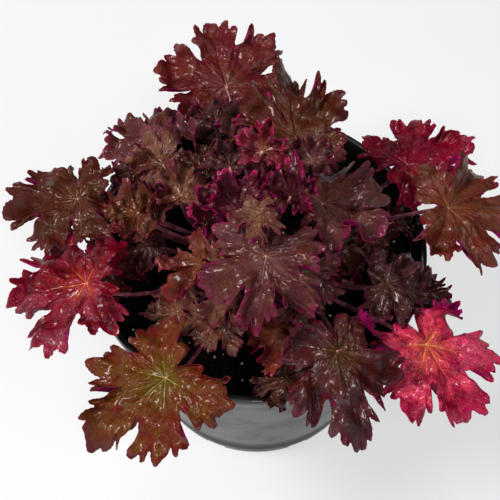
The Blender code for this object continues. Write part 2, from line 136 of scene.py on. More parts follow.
# Fine blades. A fine half lobe has three round teeth, and a sinus that is wider inside than at its mouth.
FINE_HALF_LOBE = (
    (0.88, 0.61), (0.77, 0.68), (0.76, 0.76), (0.82, 0.81), (0.85, 0.86), (0.79, 0.90), (0.69, 0.885),
    (0.62, 0.84), (0.57, 0.86), (0.55, 0.925), (0.47, 0.96), (0.38, 0.94), (0.32, 0.89), (0.27, 0.90),
    (0.22, 0.965), (0.12, 1.0),
)
FINE_SINUS = 0.55
LOBE_JITTER = 0.07
TOOTH_JITTER = 0.035
LARGE_REACH = 34.0
FULL_REACH = 42.0
BLADE_THICK = 0.36
SCALLOP = 2.4
SCALLOP_DEPTH = 0.42

# Rings over a blade, as shares of the way to its edge. Each group has half as many points as the one before.
SMALL_POINTS = 384
SMALL_RINGS = (
    (1.0, 0.972), (0.93, 0.875, 0.81, 0.74, 0.66), (0.58, 0.50, 0.42, 0.34), (0.26, 0.19, 0.12, 0.06),
)
LARGE_POINTS = 640
LARGE_RINGS = (
    (1.0, 0.978, 0.952),
    (0.92, 0.885, 0.85, 0.815, 0.78, 0.745, 0.71, 0.675, 0.64),
    (0.60, 0.56, 0.52, 0.48, 0.44, 0.40, 0.36, 0.32),
    (0.28, 0.24, 0.20, 0.16, 0.12, 0.08, 0.04),
)

# Relief of a blade. Curls are waves of the rolled margin, as (number round the leaf, size). A twist turns the
# lobe at the first angle over by the second, in degrees.
CURLS = ((2, 0.55), (4, 0.60), (7, 0.45))
CURL_START = 0.68
SMALL_CURL_START = 0.30
CURL_HEIGHT = 0.30
CURL_PULL = 0.16
DENT_SIZE = 4.0
DENT_DEPTH = 0.12
BEND_SIZE = 20.0
BEND_DEPTH = 0.85
RUFFLE_SIZE = 10.0
RUFFLE_DEPTH = 0.42
SMALL_RUFFLE = 3.2
PLEAT_EASE = 0.05
ROOM_SEEN = 12.0
ROOM_SHARE = 0.42
LEAST_ROOM = 0.05
SIDE_VEINS = 7.0
VEIN_SLANT = 0.85
VEIN_WIDTH = 0.022
VEIN_DEPTH = 0.018
PUFF_HEIGHT = 0.016
TWISTS = {"front_right_crimson": (110, 150), "front_dark": (110, 140)}

Leaf = namedtuple("Leaf", "name at heading pitch roll reach width dome frill kind seed")

# From the top of the mound down. at is where stalk meets blade, headings run counter-clockwise from +X, a
# negative pitch droops, reach is from stalk to tip, and a negative dome makes a cup.
LEAVES = tuple(Leaf(*row) for row in (
    ("young_pink", (2, -2, 209), 80, 50, 0, 15, 1.0, -0.15, 0.8, "crimson", 30),
    ("magenta_fold", (14, -22, 203), 80, 62, 0, 21, 0.75, -0.18, 0.55, "magenta", 29),
    ("centre", (3, -50, 199), -100, -18, 0, 34, 1.0, 0.14, 0.6, "plum", 25),
    ("middle_cup", (-8, -24, 203), 128, 22, 0, 20, 1.0, -0.28, 0.65, "magenta", 28),
    ("middle_olive", (2, -38, 208), -170, -20, 0, 16, 1.0, 0.1, 0.7, "olive", 35),
    ("middle_frill", (-13, -4, 200), 118, 14, 0, 15, 1.0, -0.2, 0.85, "plum", 36),
    ("upper_frill", (24, -2, 202), 75, 16, 0, 15, 1.0, -0.1, 0.85, "plum", 32),
    ("beige_left", (-13, -48, 191), -150, -6, 0, 14, 1.0, 0.1, 0.85, "olive", 43),
    ("right_ruffle", (29, -16, 189), 30, -12, 0, 40, 0.8, 0.1, 0.7, "plum", 31),
    ("right_frill", (26, -26, 181), -50, -8, 0, 16, 1.0, 0.06, 0.9, "plum", 44),
    ("upright_dark", (18, 22, 190), 98, 12, 0, 43, 0.75, -0.1, 0.5, "bronze", 2),
    ("back_ruffle", (2, 30, 186), 95, 24, 0, 16, 1.0, -0.16, 0.9, "magenta", 46),
    ("dark_magenta", (-20, -24, 193), 142, 40, 0, 16, 1.0, -0.2, 0.6, "magenta", 37),
    ("copper", (-24, -43, 185), 160, -18, 0, 25, 0.95, 0.1, 0.6, "copper", 22),
    ("beige_ruffle", (-35, -10, 187), 80, 8, 0, 19, 1.0, -0.12, 0.8, "olive", 20),
    ("dark_back", (-26, 8, 183), 85, 4, 0, 18, 1.0, 0.05, 0.7, "bronze", 38),
    ("olive_cup", (-45, 14, 180), 128, 6, 0, 21, 1.0, -0.25, 0.75, "olive", 19),
    ("back_grey", (-12, 29, 178), 12, -16, 0, 19, 1.0, 0.14, 0.7, "plum", 18),
    ("centre_right", (22, -42, 173), -32, -22, 0, 23, 1.0, 0.14, 0.75, "plum", 26),
    ("right_under", (32, -23, 166), -18, -18, 0, 22, 1.0, 0.12, 0.75, "bronze", 39),
    ("olive_under", (-10, -53, 177), -135, -22, 0, 23, 1.0, 0.14, 0.7, "olive", 27),
    ("back_magenta", (4, 44, 174), 110, 40, 0, 20, 1.0, -0.1, 0.7, "magenta", 17),
    ("left_cup_high", (-56, -11, 174), -172, 6, 0, 19, 1.0, -0.16, 0.75, "bronze", 49),
    ("back_left_plum", (-50, 33, 172), 137, -9, 0, 31, 0.95, 0.16, 0.6, "plum", 14),
    ("right_plum", (58, -47, 170), -4, -10, 0, 26, 1.0, 0.16, 0.75, "plum", 6),
    ("right_magenta", (50, -30, 160), -12, 0, 0, 15, 1.0, -0.1, 0.85, "magenta", 47),
    ("front_right_crimson", (75, -73, 163), -58, -14, 4, 43, 0.8, 0.12, 0.5, "crimson", 5),
    ("right_bronze", (90, -4, 167), 4, -12, 6, 40, 0.96, 0.14, 0.45, "bronze", 4),
    ("front_dark", (34, -83, 173), -74, -20, 0, 42, 0.78, 0.14, 0.5, "plum", 7),
    ("left_crimson", (-79, -42, 162), -178, -12, 0, 44, 0.92, 0.14, 0.45, "crimson", 11),
    ("left_bronze", (-86, 2, 165), -178, -10, 0, 41, 0.82, 0.14, 0.45, "bronze", 12),
    ("beige_right", (19, -51, 168), -75, -18, 0, 16, 1.0, 0.12, 0.8, "olive", 51),
    ("beige_front", (-16, -62, 165), -120, -14, 0, 16, 1.0, 0.1, 0.8, "olive", 52),
    ("right_plum_tip", (75, -42, 156), -8, -8, 0, 19, 1.0, 0.12, 0.75, "plum", 53),
    ("front_orange", (13, -61, 154), -118, -24, 0, 24, 0.9, 0.16, 0.65, "copper", 8),
    ("left_copper_cup", (-52, -8, 165), 150, 2, 0, 20, 1.0, -0.2, 0.7, "copper", 21),
    ("left_mid", (-63, 4, 160), 165, -6, 0, 17, 1.0, 0.1, 0.7, "plum", 54),
    ("front_left_olive", (-41, -89, 160), -146, -14, 0, 45, 0.9, 0.14, 0.4, "olive", 10),
    ("beige_low", (-23, -56, 159), -165, -12, 0, 17, 1.0, 0.14, 0.7, "olive", 24),
    ("back_small", (-21, 52, 160), 100, -4, 0, 19, 1.0, 0.12, 0.6, "plum", 16),
    ("back_left_bronze", (-60, 28, 153), 160, -18, 0, 20, 1.0, 0.14, 0.5, "bronze", 15),
    ("left_dark_low", (-50, -17, 155), -165, -6, 0, 17, 1.0, 0.12, 0.7, "plum", 55),
    ("back_long", (-16, 82, 152), 106, 18, 0, 43, 1.0, 0.1, 0.45, "plum", 1),
    ("back_right_crimson", (75, 33, 151), 26, 2, -8, 41, 0.9, 0.12, 0.4, "crimson", 3),
    ("olive_low", (-38, -48, 148), 170, -12, 0, 20, 1.0, 0.14, 0.65, "olive", 23),
    ("left_small", (-75, -22, 146), -14, -6, 0, 26, 0.9, 0.1, 0.6, "bronze", 13),
    ("front_low", (13, -77, 141), -112, -18, 0, 18, 1.0, 0.14, 0.5, "olive", 9),
    ("low_orange", (55, -6, 140), -40, -8, 0, 12, 1.0, 0.12, 0.5, "copper", 33),
    ("low_red", (68, 8, 136), 10, -10, 0, 14, 1.0, 0.12, 0.45, "crimson", 34),
    ("back_left_low", (-52, 54, 142), 135, -12, 0, 22, 1.0, 0.14, 0.5, "bronze", 40),
    ("back_low", (-16, 62, 138), 95, -10, 0, 19, 1.0, 0.14, 0.5, "plum", 41),
    ("back_right_low", (22, 56, 142), 62, -12, 0, 21, 1.0, 0.14, 0.5, "bronze", 42),
))

# How light or dark each leaf is against others of its kind. low_red, low_orange and dark_back are darkened
# for the deep shade they sit in, which is painted shade.
SHADES = {
    "back_right_crimson": 1.1, "front_dark": 0.75, "right_plum": 0.5, "right_plum_tip": 0.55,
    "middle_frill": 0.7, "dark_back": 0.5, "back_small": 0.6, "front_low": 0.7,
    "left_small": 0.8, "low_red": 0.4, "back_long": 0.95, "back_left_bronze": 0.6, "right_under": 0.7,
    "front_orange": 1.5, "back_left_low": 0.6, "back_low": 0.6, "back_right_low": 0.5, "low_orange": 0.7,
    "left_dark_low": 0.6, "left_mid": 0.7, "upright_dark": 0.75, "left_bronze": 0.75, "copper": 1.05,
    "right_bronze": 1.2, "front_right_crimson": 0.95,
}

# The upper side: its colours near the stalk, over the blade, in patches, at the edge, of the veins and of the
# veil between them, all in thousandths, and its roughness. The veil colour is partly the leaf's own silvery
# veil and partly painted sheen.
LeafLook = namedtuple("LeafLook", "heart blade patch edge vein veil rough")
LEAF_LOOKS = {
    "plum": ((85, 30, 18), (62, 13, 18), (72, 20, 13), (120, 4, 36), (180, 80, 50), (140, 62, 74), 0.40),
    "bronze": ((85, 26, 9), (72, 10, 6), (68, 20, 7), (95, 5, 14), (150, 60, 30), (135, 52, 48), 0.38),
    "crimson": ((190, 10, 8), (125, 1, 9), (60, 1, 7), (150, 1, 18), (420, 100, 35), (330, 70, 110), 0.34),
    "copper": ((110, 38, 13), (100, 21, 9), (62, 8, 7), (130, 9, 18), (190, 80, 35), (240, 105, 80), 0.32),
    "olive": ((78, 58, 4), (88, 30, 4), (95, 12, 5), (85, 5, 11), (150, 125, 12), (110, 45, 14), 0.36),
    "magenta": ((30, 3, 7), (38, 2, 10), (70, 10, 14), (240, 2, 70), (80, 16, 20), (100, 16, 36), 0.36),
    "maroon": ((90, 20, 14), (85, 6, 12), (95, 16, 9), (110, 6, 14), (170, 60, 45), (120, 26, 34), 0.42),
    "beige": ((110, 48, 20), (70, 16, 13), (120, 52, 32), (100, 4, 26), (120, 52, 26), (220, 115, 90), 0.36),
    "ruby": ((120, 1, 10), (145, 1, 13), (80, 1, 9), (160, 1, 22), (200, 12, 24), (200, 8, 45), 0.34),
    "umber": ((66, 28, 8), (70, 9, 7), (50, 15, 18), (95, 4, 20), (110, 50, 18), (110, 36, 44), 0.36),
    "young": ((110, 50, 20), (150, 18, 26), (90, 10, 18), (350, 12, 90), (240, 110, 60), (260, 60, 90), 0.34),
    # For front_right_crimson: its own scarlet, made brighter to stand in for light shining through the blade,
    # which is painted light.
    "backlit_scarlet": (
        (330, 52, 30), (180, 1, 26), (380, 24, 58), (220, 1, 46), (560, 220, 70), (500, 70, 150), 0.36,
    ),
}

# Leaves whose look isn't that of their kind
FINISH_OF = {
    "young_pink": "young", "front_right_crimson": "backlit_scarlet", "back_long": "maroon",
    "back_right_crimson": "ruby", "front_dark": "umber",
}
UNDERSIDE = (
    (210, 6, 64), (200, 2, 64), (100, 1, 32), (200, 2, 70), (220, 36, 80), (200, 12, 90), 0.55,
)


# Collections and meshes


def collection(name):
    made = bpy.data.collections.new(name)
    bpy.context.scene.collection.children.link(made)
    return made


def mesh_piece(name, points, faces, into):
    """A piece from points in millimetres."""
    mesh = bpy.data.meshes.new(name)
    mesh.from_pydata((np.asarray(points, float) * MM).tolist(), [], faces)
    mesh.update()
    obj = bpy.data.objects.new(name, mesh)
    into.objects.link(obj)
    return obj


def point_values(mesh, name, kind, values):
    """Keeps a number, or a row of three, for each point of the mesh."""
    layer = mesh.attributes.new(name, kind, "POINT")
    field = "value" if kind == "FLOAT" else "vector"
    layer.data.foreach_set(field, np.asarray(values, np.float32).reshape(-1))


def dressed(piece, finish):
    """Gives the piece one finish and smooth shading."""
    piece.data.materials.append(finish)
    piece.data.shade_smooth()


def kept(piece, slot, *nodes):
    """Puts the piece on the root body and hides the CAD nodes it stands for. Its slot, whose finish it takes,
    is not used.
    """
    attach(piece, "root")
    if nodes:
        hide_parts(*nodes)
    return piece


# The shape of a blade, as in the CAD model


def leaf_edge(half_lobe=HALF_LOBE, sinus=SINUS):
    """The flat leaf's edge as rows of (angle from the tip, radius as a share of the reach)."""
    points = []
    for middle, half, length in LOBES:
        across = [(-1.0, sinus)] + [(-a, r) for a, r in half_lobe] + [(0.0, 1.0)]
        across += [(a, r) for a, r in reversed(half_lobe)]
        points += [(radians(middle + half * a), length * r) for a, r in across]
    middle, half, length = LOBES[-1]
    points.append((radians(middle + half), length * LAST_SINUS))
    basal = [(a, r) for a, r in NOTCH] + [(360 - a, r) for a, r in reversed(NOTCH)]
    return np.array(points + [(radians(a), r) for a, r in basal])


def blade_axes(leaf):
    """The directions of a blade's midrib, its left side and its upper face."""
    heading, pitch, roll = (radians(a) for a in (leaf.heading, leaf.pitch, leaf.roll))
    along = (cos(pitch) * cos(heading), cos(pitch) * sin(heading), sin(pitch))
    left = np.array([-sin(heading), cos(heading), 0.0])
    up = np.cross(along, left)
    turned_left = left * cos(roll) + up * sin(roll)
    return np.array(along), turned_left, up * cos(roll) - left * sin(roll)


def waves_of(leaf):
    """The leaf's own waves: rows of (number round it, size as a share of the reach, phase)."""
    draw = random.Random(leaf.seed)
    return [(number, size * leaf.frill, draw.uniform(0, 2 * pi)) for number, size in WAVES]


def blade_points(leaf, angle, radius, relief=0.0, turn=(0.0, 0.0)):
    """Places on the middle of the blade: pleated along the lobes, waved towards the edge, domed or cupped."""
    along, left, up = blade_axes(leaf)
    wave = sum(size * np.sin(number * angle + phase) for number, size, phase in waves_of(leaf))
    pleat = PLEAT_DEPTH * leaf.frill * np.cos(angle * PLEATS)
    height = (wave - pleat) * radius**PLEAT_GROWTH - leaf.dome * radius**2 + relief
    drawn_in = radius * (1.0 - 0.25 * np.abs(wave) * radius)
    off, over = turn
    across = drawn_in * np.sin(off)
    height = height + across * np.sin(over)
    ahead = drawn_in * np.cos(angle) + across * (np.cos(over) - 1.0) * -np.sin(angle - off)
    aside = (drawn_in * np.sin(angle) + across * (np.cos(over) - 1.0) * np.cos(angle - off)) * leaf.width
    offset = np.outer(ahead, along) + np.outer(aside, left) + np.outer(height, up)
    return np.array(leaf.at, float) + leaf.reach * offset


def dome_point(lean, turn, out=0.0):
    """A point of the crown's dome, lean down from its top and turn round it, and out millimetres off it."""
    r, h = CROWN_RADIUS + out, CROWN_DOME + out
    level = r * sin(lean)
    return np.array([level * cos(turn), level * sin(turn), CROWN_SHOULDER + h * cos(lean)])


def stalk_bases(leaves):
    """Where stalks leave the crown, as (lean, turn): towards each leaf, then pushed apart where crowded."""
    spots = []
    for leaf in leaves:
        x, y, z = leaf.at
        lean = atan2(hypot(x, y), z - CROWN_SHOULDER)
        spots.append([min(lean * 1.3, MOST_LEAN), atan2(y, x)])
    for _ in range(150):
        places = np.array([dome_point(*spot) for spot in spots])
        for i, spot in enumerate(spots):
            apart = places[i] - np.delete(places, i, axis=0)
            far = np.maximum(np.linalg.norm(apart, axis=1, keepdims=True), 0.1)
            push = np.sum(apart / far * np.maximum(STALK_SPACING - far, 0.0) * 0.3, axis=0)
            lean, turn = spot
            out = np.array([cos(turn), sin(turn), 0.0])
            down = cos(lean) * out - (0.0, 0.0, sin(lean))
            side = np.array([-sin(turn), cos(turn), 0.0])
            spot[0] = min(max(lean + push @ down / CROWN_RADIUS, LEAST_LEAN), MOST_LEAN)
            spot[1] = turn + push @ side / (CROWN_RADIUS * max(sin(lean), 0.2))
    return spots


def stalk_path(leaf, base, side, rise, steps):
    """Points from the crown to the blade: straight out of it, then one smooth curve, bowed if asked."""
    foot, start, end = dome_point(*base, GAP), dome_point(*base, GAP + STALK_FOOT), np.array(leaf.at, float)
    along, _, up = blade_axes(leaf)
    leave = start - foot
    leave = leave / np.linalg.norm(leave) + np.array([0.0, 0.0, 0.5])
    arrive = along * 0.5 + up * 0.87
    span = np.linalg.norm(end - start)
    level = np.array([start[1] - end[1], end[0] - start[0], 0.0])
    bow = level / max(np.linalg.norm(level), 0.1) * side + np.array([0.0, 0.0, rise])
    first = start + leave / np.linalg.norm(leave) * span * 0.30 + bow
    last = end - arrive / np.linalg.norm(arrive) * span * 0.25 + bow
    t = np.linspace(0.0, 1.0, steps)[:, None]
    s = 1.0 - t
    return s**3 * start + 3 * s * s * t * first + 3 * s * t * t * last + t**3 * end


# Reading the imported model


def surface_of(node):
    """The CAD node's surface, for finding the nearest point on it, in millimetres."""
    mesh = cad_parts[node].data
    return BVHTree.FromPolygons([v.co / MM for v in mesh.vertices], [p.vertices[:] for p in mesh.polygons])


def distance_to(surface, points):
    return sum(surface.find_nearest(Vector(p))[3] for p in points) / len(points)


def settled_leaves(surfaces):
    """Each leaf moved up or down as its CAD solid was: the whole millimetre that lies nearest that solid."""
    edge = leaf_edge()
    settled = []
    for leaf in LEAVES:
        points = blade_points(leaf, edge[:, 0], edge[:, 1])
        misses = []
        for move in range(-MOST_DROP, MOST_RISE + 1):
            misses.append((distance_to(surfaces[leaf.name], points + (0.0, 0.0, move)), move))
        x, y, z = leaf.at
        settled.append(leaf._replace(at=(x, y, z + min(misses)[1])))
    return settled


def settled_stalks(leaves, surfaces):
    """Each stalk's path, bowed as its CAD solid's is."""
    paths = {}
    for leaf, base in zip(leaves, stalk_bases(leaves)):
        misses = []
        for side in TRIED_SIDES:
            for rise in TRIED_RISES:
                path = stalk_path(leaf, base, side, rise, TRIED_POINTS)
                misses.append((distance_to(surfaces[leaf.name], path), abs(side) + abs(rise), side, rise))
        _, _, side, rise = min(misses)
        root = dome_point(*base, -STALK_ROOT)
        path = stalk_path(leaf, base, side, rise, STALK_STEPS)
        paths[leaf.name] = np.vstack((root, path))
    return paths


# Fine blades


def closed_curve(points, each):
    """A smooth closed curve through flat points, with this many steps between neighbours."""
    before, after, beyond = (np.roll(points, k, axis=0) for k in (1, -1, -2))
    out = []
    for k in range(each):
        t = k / each
        out.append(
            0.5 * (2 * points + (after - before) * t + (2 * before - 5 * points + 4 * after - beyond) * t * t
                   + (3 * points - before - 3 * after + beyond) * t**3)
        )
    return np.stack(out, 1).reshape(-1, 2)


def fine_outline(leaf, count):
    """The flat leaf's fine edge, as shares of the reach: rounded teeth, each with small scallops."""
    draw = random.Random(leaf.seed + 500)
    edge = leaf_edge(FINE_HALF_LOBE, FINE_SINUS)
    flat_angle, radius = edge[:, 0], edge[:, 1].copy()
    for middle, half, _ in LOBES:
        off = (flat_angle - radians(middle)) / radians(half)
        radius *= 1.0 + draw.uniform(-LOBE_JITTER, LOBE_JITTER) * np.clip(1.0 - off**4, 0.0, 1.0)
    for number in (11, 17, 23):
        radius *= 1.0 + TOOTH_JITTER * np.sin(number * flat_angle + draw.uniform(0, 6)) * (radius > 0.55)
    angle = flat_angle + 0.06 * np.sin(2 * flat_angle + draw.uniform(0, 6)) * (radius > 0.45)
    angle = angle + 0.03 * np.sin(5 * flat_angle + draw.uniform(0, 6)) * (radius > 0.45)
    curve = closed_curve(np.stack((radius * np.cos(angle), radius * np.sin(angle)), 1), 8)
    steps = np.linalg.norm(np.roll(curve, -1, axis=0) - curve, axis=1)
    so_far = np.concatenate(([0.0], np.cumsum(steps)))
    at = np.linspace(0.0, so_far[-1], count, endpoint=False)
    closed = np.vstack((curve, curve[:1]))
    flat = np.stack([np.interp(at, so_far, closed[:, k]) for k in (0, 1)], 1)
    ahead = np.roll(flat, -2, axis=0) - np.roll(flat, 2, axis=0)
    outward = np.stack((ahead[:, 1], -ahead[:, 0]), 1)
    outward /= np.maximum(np.linalg.norm(outward, axis=1, keepdims=True), 1e-9)
    size = SCALLOP * (0.55 + 0.45 * leaf.reach / FULL_REACH) / leaf.reach
    number = max(round(so_far[-1] / size), 8)
    phase = np.pi * number * at / so_far[-1]
    drift = 0.35 * np.sin(5 * 2 * np.pi * at / so_far[-1] + draw.uniform(0, 6))
    round_bump = np.abs(np.sin(phase + drift)) - 0.60
    strength = 0.75 + 0.35 * np.sin(9 * 2 * np.pi * at / so_far[-1] + draw.uniform(0, 6))
    deep = SCALLOP_DEPTH * size / SCALLOP * strength * (np.hypot(*flat.T) > 0.34)
    return flat + outward * (round_bump * deep)[:, None]


def vein_place(angle, radius):
    """Where a point lies beside its lobe's main vein: (way along it, way off it), as shares of the reach."""
    middles = np.radians([lobe[0] for lobe in LOBES])
    off = np.arctan2(np.sin(angle[:, None] - middles), np.cos(angle[:, None] - middles))
    nearest = off[np.arange(len(angle)), np.argmin(np.abs(off), axis=1)]
    return radius * np.cos(nearest), radius * np.abs(np.sin(nearest))


def curl_of(leaf, angle, share):
    """How far the margin rolls up (above 0) or down at each place, growing from where the roll starts."""
    draw = random.Random(leaf.seed + 700)
    roll = 0.0
    for number, size in CURLS:
        roll = roll + size * np.sin(number * angle + draw.uniform(0, 2 * pi))
    start = CURL_START if leaf.reach >= LARGE_REACH else SMALL_CURL_START
    return leaf.frill * roll * (np.clip(share - start, 0.0, 1.0) / (1.0 - start)) ** 2


def crumpled(leaf, angle, radius, size, seed):
    """Random dents of about this size in millimetres, from waves running every way across the blade."""
    draw = random.Random(leaf.seed + seed)
    x, y = radius * np.cos(angle) * leaf.reach, radius * np.sin(angle) * leaf.reach
    total = 0.0
    for _ in range(9):
        way, length = draw.uniform(0, 2 * pi), size * draw.uniform(0.6, 1.7)
        along = x * cos(way) + y * sin(way)
        total = total + np.sin(2 * pi * along / length + draw.uniform(0, 2 * pi))
    return total


def relief_of(leaf, angle, radius, share):
    """Fine height on the blade, as a share of the reach: veins, puffed skin, ruffles, dents and curls."""
    along, aside = vein_place(angle, radius)
    main = -VEIN_DEPTH * np.exp(-((aside / VEIN_WIDTH) ** 2)) * (1.0 - 0.6 * share)
    between = np.abs(np.sin(np.pi * (along - VEIN_SLANT * aside) * SIDE_VEINS))
    puff = PUFF_HEIGHT * (between - 0.5) * np.clip(aside / 0.10, 0, 1) * (1.0 - share**3)
    ruffle_size = RUFFLE_SIZE * (0.45 + 0.55 * leaf.reach / FULL_REACH)
    ruffle_depth = RUFFLE_DEPTH * (0.15 + 1.2 * leaf.frill) * share**1.6
    if leaf.reach < LARGE_REACH:
        ruffle_depth = ruffle_depth * SMALL_RUFFLE
    ruffle = crumpled(leaf, angle, radius, ruffle_size, 300) * ruffle_depth
    bends = crumpled(leaf, angle, radius, BEND_SIZE, 350) * BEND_DEPTH * np.minimum(share * 1.5, 1.0)
    dents = crumpled(leaf, angle, radius, DENT_SIZE, 400) * DENT_DEPTH * np.minimum(share * 3, 1.0)
    eased = PLEAT_EASE * leaf.frill * np.cos(angle * PLEATS) * radius**PLEAT_GROWTH
    curl = CURL_HEIGHT * curl_of(leaf, angle, share)
    return main + puff + eased + (bends + ruffle + dents) / leaf.reach + curl


def other_leaves(leaf):
    """The surfaces of all the other leaves' CAD solids, for finding how near they are, in millimetres."""
    places, polygons = [], []
    for name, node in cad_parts.items():
        if name.startswith("leaf_") and name != "leaf_" + leaf.name:
            first = len(places)
            places += [v.co / MM for v in node.data.vertices]
            polygons += [tuple(i + first for i in p.vertices) for p in node.data.polygons]
    return BVHTree.FromPolygons(places, polygons)


def within_room(leaf, points, relief):
    """The relief eased where another leaf is near, so that it fills at most about half of the space."""
    others = other_leaves(leaf)
    near = [others.find_nearest(Vector(p), ROOM_SEEN)[3] for p in points.tolist()]
    most = ROOM_SHARE * np.array([ROOM_SEEN if d is None else d for d in near]) + LEAST_ROOM
    return most * np.tanh(relief * leaf.reach / most) / leaf.reach


def twist_of(leaf, angle, radius):
    """How far each place on one lobe is turned over about that lobe's own vein, in radians."""
    if leaf.name not in TWISTS:
        return 0.0 * angle, 0.0 * angle
    middle, most = TWISTS[leaf.name]
    off = np.arctan2(np.sin(angle - radians(middle)), np.cos(angle - radians(middle)))
    inside = np.clip((radians(30) - np.abs(off)) / 0.05, 0, 1)
    along = np.clip((radius * np.cos(off) - 0.36) / 0.22, 0, 1)
    return off, radians(most) * inside * along * along * (3 - 2 * along)


def stitched(outer, inner):
    """Faces between two closed loops of vertex numbers, the inner one of as many or half as many points."""
    n, m = len(outer), len(inner)
    if n == m:
        return [(outer[k], outer[(k + 1) % n], inner[(k + 1) % n], inner[k]) for k in range(n)]
    faces = []
    for k in range(m):
        a, b, c = outer[2 * k], outer[2 * k + 1], outer[(2 * k + 2) % n]
        here, following = inner[k], inner[(k + 1) % m]
        faces += [(a, b, here), (b, following, here), (b, c, following)]
    return faces


def blade_grid(leaf):
    """Rings of points over the flat blade: (flat places, share of the way to the edge, faces, edge loop)."""
    large = leaf.reach >= LARGE_REACH
    count, rings = (LARGE_POINTS, LARGE_RINGS) if large else (SMALL_POINTS, SMALL_RINGS)
    outline = fine_outline(leaf, count)
    places, shares, loops = [], [], []
    for level, ring_shares in enumerate(rings):
        step = 2**level
        thinned = outline[::step]
        if step > 1:
            thinned = sum(np.roll(outline, k, axis=0) for k in range(1 - step, step))[::step] / (2 * step - 1)
        for share in ring_shares:
            first = sum(len(p) for p in places)
            loops.append(list(range(first, first + len(thinned))))
            places.append(thinned * share)
            shares.append(np.full(len(thinned), share))
    centre = sum(len(p) for p in places)
    places.append(np.zeros((1, 2)))
    shares.append(np.zeros(1))
    faces = []
    for outer, inner in zip(loops, loops[1:]):
        faces += stitched(outer, inner)
    last = loops[-1]
    faces += [(a, b, centre) for a, b in zip(last, last[1:] + last[:1])]
    return np.vstack(places), np.concatenate(shares), faces, loops[0]


def vertex_normals(points, faces):
    total = np.zeros_like(points)
    for sides in (3, 4):
        group = np.array([f for f in faces if len(f) == sides])
        if len(group):
            corner = points[group[:, 0]]
            across = np.cross(points[group[:, 1]] - corner, points[group[:, -1]] - corner)
            for k in range(sides):
                np.add.at(total, group[:, k], across)
    return total / np.maximum(np.linalg.norm(total, axis=1, keepdims=True), 1e-9)


def tube(path, radii, sides):
    """A closed tube along a path: its points, its faces, and each point's share of the way along."""
    ahead = np.gradient(path, axis=0)
    ahead /= np.linalg.norm(ahead, axis=1, keepdims=True)
    across = np.cross(ahead, (0.31, 0.93, 0.17))
    across /= np.linalg.norm(across, axis=1, keepdims=True)
    over = np.cross(ahead, across)
    turn = (2 * pi * np.arange(sides) / sides)[None, :, None]
    spokes = across[:, None] * np.cos(turn) + over[:, None] * np.sin(turn)
    rings = path[:, None] + radii[:, None, None] * spokes
    points = np.vstack((rings.reshape(-1, 3), path[:1], path[-1:]))
    faces = []
    for k in range(len(path) - 1):
        for s in range(sides):
            a, b = k * sides + s, k * sides + (s + 1) % sides
            faces.append((a, a + sides, b + sides, b))
    low, high = len(points) - 2, len(points) - 1
    top = (len(path) - 1) * sides
    for s in range(sides):
        faces.append((low, s, (s + 1) % sides))
        faces.append((high, top + (s + 1) % sides, top + s))
    share = np.concatenate((np.repeat(np.linspace(0, 1, len(path)), sides), [0.0, 1.0]))
    return points, faces, share


def build_leaf(leaf, path, into, finishes):
    """A fine leaf: its upper and lower skins, closed round the edge, and its stalk."""
    flat, share, faces, rim = blade_grid(leaf)
    angle, radius = np.arctan2(flat[:, 1], flat[:, 0]), np.hypot(flat[:, 0], flat[:, 1])
    rolled = radius * (1.0 - CURL_PULL * np.abs(curl_of(leaf, angle, share)))
    turn = twist_of(leaf, angle, radius)
    plain = blade_points(leaf, angle, rolled, 0.0, turn)
    relief = within_room(leaf, plain, relief_of(leaf, angle, radius, share))
    middle = blade_points(leaf, angle, rolled, relief, turn)
    normals = vertex_normals(middle, faces)
    half = (BLADE_THICK * (1.15 - 0.5 * share) / 2)[:, None]
    n = len(middle)
    lower = [tuple(i + n for i in reversed(f)) for f in faces]
    edge = [(a, a + n, b + n, b) for a, b in zip(rim, rim[1:] + rim[:1])]
    stem = path.copy()
    stem[-1] -= blade_axes(leaf)[2] * 0.25
    radii = STALK_RADIUS * (1.15 - 0.35 * np.linspace(0, 1, len(stem)))
    radii[:2] *= STALK_FLARE
    radii[-1] = STALK_TIP_RADIUS
    stem_points, stem_faces, stem_share = tube(stem, radii, STALK_SIDES)
    points = np.vstack((middle + normals * half, middle - normals * half, stem_points))
    stem_faces = [tuple(i + 2 * n for i in f) for f in stem_faces]
    piece = mesh_piece("heuchera_leaf_" + leaf.name, points, faces + lower + edge + stem_faces, into)
    mesh = piece.data
    for finish in finishes:
        mesh.materials.append(finish)
    slots = [0] * len(faces) + [1] * len(lower) + [0] * len(edge) + [2] * len(stem_faces)
    mesh.polygons.foreach_set("material_index", slots)
    mesh.shade_smooth()
    along, aside = vein_place(angle, radius)
    lie = np.stack((along, aside, share), 1)
    stem_lie = np.stack((stem_share * 0, stem_share * 0, stem_share), 1)
    point_values(mesh, "lie", "FLOAT_VECTOR", np.vstack((lie, lie, stem_lie)))
    point_values(mesh, "shade", "FLOAT", np.full(len(mesh.vertices), SHADES.get(leaf.name, 1.0)))
    return kept(piece, "leaf_" + leaf.kind, "leaf_" + leaf.name)


# Materials


def put(tree, socket, value):
    if isinstance(value, bpy.types.NodeSocket):
        tree.links.new(value, socket)
    elif hasattr(value, "__len__") and len(value) == 3 and socket.type == "RGBA":
        socket.default_value = (*value, 1.0)
    else:
        socket.default_value = value


def give(tree, node, values):
    """Sets a node's inputs, by name, to values or to what other nodes put out."""
    for name, value in values.items():
        put(tree, node.inputs[name], value)


def shader_of(name, colour, roughness):
    """A new material, its node tree, its shader, and the place on the object."""
    made = bpy.data.materials.new(name)
    made.use_nodes = True
    made.diffuse_color = (*colour, 1.0)
    tree = made.node_tree
    shader = tree.nodes["Principled BSDF"]
    give(tree, shader, {"Base Color": colour, "Roughness": roughness})
    return made, tree, shader, tree.nodes.new("ShaderNodeTexCoord").outputs["Object"]


def calc(tree, operation, *values):
    made = tree.nodes.new("ShaderNodeMath")
    made.operation = operation
    for socket, given in zip(made.inputs, values):
        put(tree, socket, given)
    return made.outputs[0]


